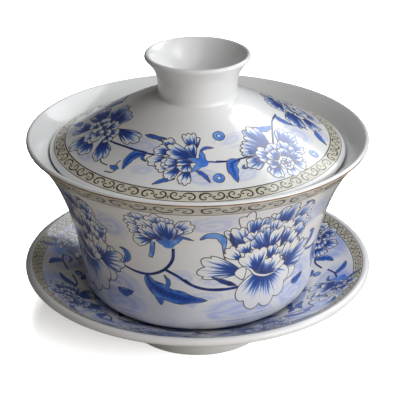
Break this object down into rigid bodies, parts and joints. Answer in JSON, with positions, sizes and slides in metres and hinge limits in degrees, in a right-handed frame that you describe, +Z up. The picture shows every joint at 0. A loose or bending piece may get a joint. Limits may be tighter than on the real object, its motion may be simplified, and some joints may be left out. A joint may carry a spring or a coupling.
{
  "type": "gaiwan",
  "caption": "Lidded porcelain tea bowl on its saucer: a flared bowl, a domed lid with a cup-shaped knob, and a deep saucer with a well for the bowl's foot.",
  "frame": {"origin": "centre of the saucer's foot ring, level with the table", "axes": "+Z up along the common axis of the saucer, bowl and lid; +Y away from the viewer of the decorated front, +X to that viewer's right"},
  "size_m": [0.1094, 0.1094, 0.0923],
  "materials": {
    "saucer": "glossy glaze",
    "bowl": "glossy glaze",
    "lid_dome": "glossy glaze",
    "lid_knob": "glossy glaze"
  },
  "bodies": {
    "saucer": {"saucer": "saucer"},
    "bowl": {"bowl": "bowl"},
    "lid": {"lid_dome": "lid_dome", "lid_knob": "lid_knob"}
  },
  "joints": [
    {"name": "bowl_lift", "type": "slide", "parent": "saucer", "child": "bowl", "axis": [0, 0, 1], "range_m": [0, 0.06]},
    {"name": "lid_lift", "type": "slide", "parent": "bowl", "child": "lid", "axis": [0, 0, 1], "range_m": [0, 0.06]}
  ]
}
